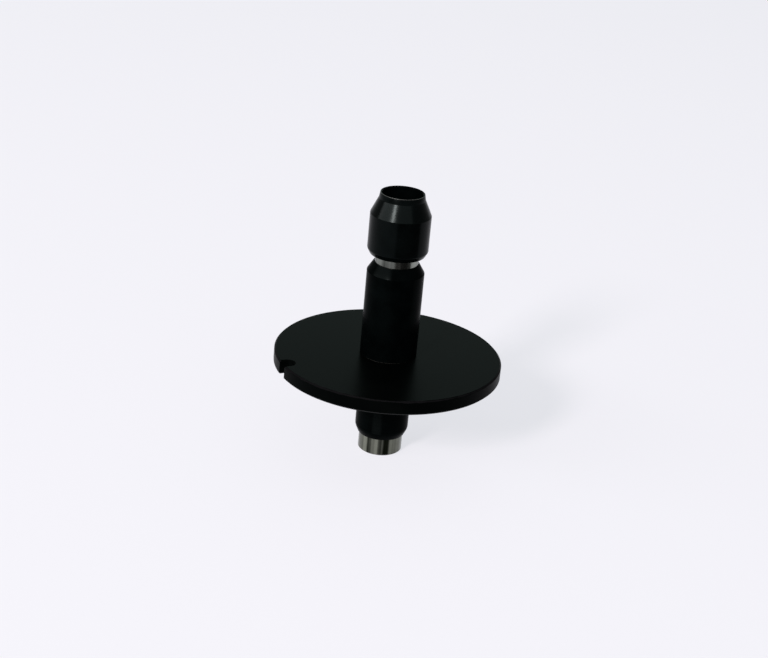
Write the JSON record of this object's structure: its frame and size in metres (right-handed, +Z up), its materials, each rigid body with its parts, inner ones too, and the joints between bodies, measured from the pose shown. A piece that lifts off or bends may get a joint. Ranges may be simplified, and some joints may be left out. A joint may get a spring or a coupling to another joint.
{
  "type": "smt pick up nozzle",
  "caption": "Vacuum pick-up nozzle for a placement machine: black collar and shank, thin notched background disc and a sprung steel suction tip.",
  "frame": {"origin": "centre of the suction tip's flat end face, with the tip at rest", "axes": "+Z up the turning axis, out of the mouth; -X towards the disc's index notch; +X towards the guide pin"},
  "size_m": [0.036, 0.036, 0.0432],
  "materials": {
    "blackened_steel": "blackened steel, satin gloss",
    "black_anodised": "black anodised, semi-gloss",
    "ground_steel": "ground and polished stainless steel",
    "spring_steel": "drawn spring wire"
  },
  "bodies": {
    "nozzle_body": {"retaining_head": "blackened_steel", "neck_tube": "ground_steel", "shank": "blackened_steel", "background_disc": "black_anodised", "guide_pin": "ground_steel", "buffer_spring": "spring_steel"},
    "tip": {"suction_tip": "ground_steel"}
  },
  "joints": [
    {"name": "tip_slide", "type": "slide", "parent": "nozzle_body", "child": "tip", "axis": [0, 0, 1], "range_m": [0, 0.002], "stiffness_N_per_m": 450, "springref_m": -0.002, "deforming": ["buffer_spring"]}
  ]
}
